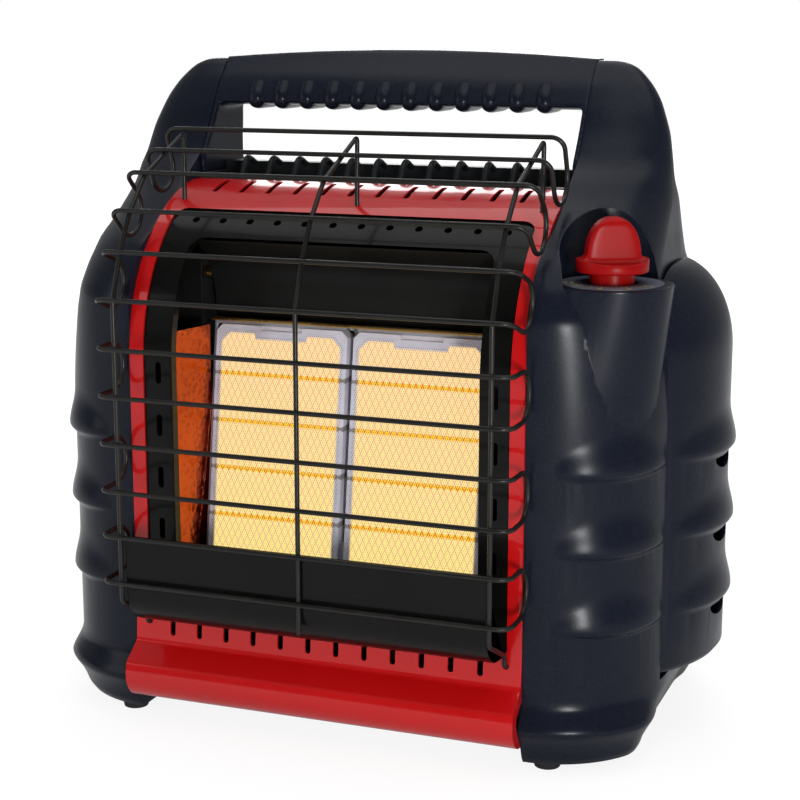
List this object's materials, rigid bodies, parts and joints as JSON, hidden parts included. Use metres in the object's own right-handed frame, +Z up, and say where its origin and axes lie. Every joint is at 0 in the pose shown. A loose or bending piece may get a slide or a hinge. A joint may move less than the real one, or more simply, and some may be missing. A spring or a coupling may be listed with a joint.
{
  "type": "portable propane heater",
  "caption": "Portable propane cabinet heater with a tiled radiant burner, wire guard, top handle and a lift-aside door over the bottle bay on each side.",
  "frame": {"origin": "on the floor, under the middle of the heater", "axes": "+Z up, -Y out of the heated front, +X to the knob's side"},
  "size_m": [0.463, 0.297, 0.431],
  "materials": {
    "red_enamel": "gloss",
    "red_knob": "gloss",
    "red_switch": "gloss",
    "black_enamel": "gloss",
    "navy_plastic": "fine grain",
    "black_plastic": "matte",
    "grey_plastic": "matte",
    "ceramic": "matte",
    "porcelain": "gloss",
    "hot_steel": "heat tinted",
    "zinc_sheet": "galvanised",
    "zinc_casting": "cast",
    "brass": "satin",
    "tube_steel": "satin",
    "bright_steel": "bright",
    "black_wire": "satin",
    "rubber_feet": "matte"
  },
  "bodies": {
    "heater": {"front_panel": "red_enamel", "burner_bezel": "black_enamel", "hearth_plate": "black_enamel", "burner_deck": "zinc_sheet", "left_reflector": "hot_steel", "right_reflector": "hot_steel", "reflector_hood": "black_enamel", "trim_strip": "brass", "left_plaque": "ceramic", "right_plaque": "ceramic", "burner_frame": "hot_steel", "burner_box": "hot_steel", "burner_brackets": "hot_steel", "gas_manifold": "tube_steel", "gas_orifices": "brass", "main_gas_tube": "tube_steel", "left_supply_tube": "brass", "right_supply_tube": "brass", "gas_valve": "zinc_casting", "dial_plate": "black_plastic", "piezo_igniter": "porcelain", "pilot_bracket": "zinc_sheet", "pilot_burner": "brass", "ignition_electrode": "porcelain", "thermocouple": "tube_steel", "guard_loops": "black_wire", "guard_uprights": "black_wire", "left_housing": "navy_plastic", "right_housing": "navy_plastic", "handle": "navy_plastic", "top_grille": "black_plastic", "left_bay_liner": "zinc_sheet", "right_bay_liner": "zinc_sheet", "left_hinge_pins": "bright_steel", "right_hinge_pins": "bright_steel", "left_regulator_bracket": "zinc_sheet", "right_regulator_bracket": "zinc_sheet", "rear_cover": "black_enamel", "fan_grille": "black_plastic", "fan_shroud": "grey_plastic", "fan_motor": "zinc_casting", "battery_box": "grey_plastic", "fan_switch_frame": "black_plastic", "tip_switch_frame": "porcelain", "base_pan": "zinc_sheet", "feet": "rubber_feet", "panel_screws": "bright_steel", "rear_screws": "bright_steel"},
    "valve_sleeve": {"valve_sleeve": "brass"},
    "control_knob": {"control_knob": "red_knob", "valve_stem": "bright_steel"},
    "right_door": {"right_door": "navy_plastic"},
    "left_door": {"left_door": "navy_plastic"},
    "right_regulator": {"right_regulator": "zinc_casting"},
    "left_regulator": {"left_regulator": "zinc_casting"},
    "fan_rotor": {"fan_rotor": "grey_plastic"},
    "fan_switch_rocker": {"fan_switch_rocker": "red_switch"},
    "battery_cover": {"battery_cover": "black_plastic"},
    "tip_weight": {"tip_weight": "zinc_casting"}
  },
  "joints": [
    {"name": "valve_press", "type": "slide", "parent": "heater", "child": "valve_sleeve", "axis": [0, 0, -1], "range_m": [0, 0.003], "stiffness_N_per_m": 800, "springref_m": -0.002},
    {"name": "knob_turn", "type": "hinge", "parent": "valve_sleeve", "child": "control_knob", "pos_m": [0.17, -0.065, 0.31], "axis": [0, 0, 1], "range_deg": [0, 200]},
    {"name": "right_door_hinge", "type": "hinge", "parent": "heater", "child": "right_door", "pos_m": [0.2026, 0.081, 0.15], "axis": [0, 0, 1], "range_deg": [0, 105]},
    {"name": "left_door_hinge", "type": "hinge", "parent": "heater", "child": "left_door", "pos_m": [-0.2026, 0.081, 0.15], "axis": [0, 0, -1], "range_deg": [0, 105]},
    {"name": "right_regulator_swivel", "type": "hinge", "parent": "heater", "child": "right_regulator", "pos_m": [0.168, 0.016, 0.286], "axis": [0, -1, 0], "range_deg": [0, 20]},
    {"name": "left_regulator_swivel", "type": "hinge", "parent": "heater", "child": "left_regulator", "pos_m": [-0.168, 0.016, 0.286], "axis": [0, 1, 0], "range_deg": [0, 20]},
    {"name": "fan_spin", "type": "hinge", "parent": "heater", "child": "fan_rotor", "pos_m": [0, 0.11, 0.155], "axis": [0, 1, 0], "continuous": true},
    {"name": "fan_switch_rock", "type": "hinge", "parent": "heater", "child": "fan_switch_rocker", "pos_m": [0.1, 0.128, 0.25], "axis": [1, 0, 0], "range_deg": [-10, 10]},
    {"name": "battery_cover_hinge", "type": "hinge", "parent": "heater", "child": "battery_cover", "pos_m": [0, 0.1354, 0.019], "axis": [-1, 0, 0], "range_deg": [0, 90]},
    {"name": "tip_weight_swing", "type": "hinge", "parent": "heater", "child": "tip_weight", "pos_m": [0, 0.02, 0.0465], "axis": [1, 0, 0], "range_deg": [-20, 20]}
  ]
}
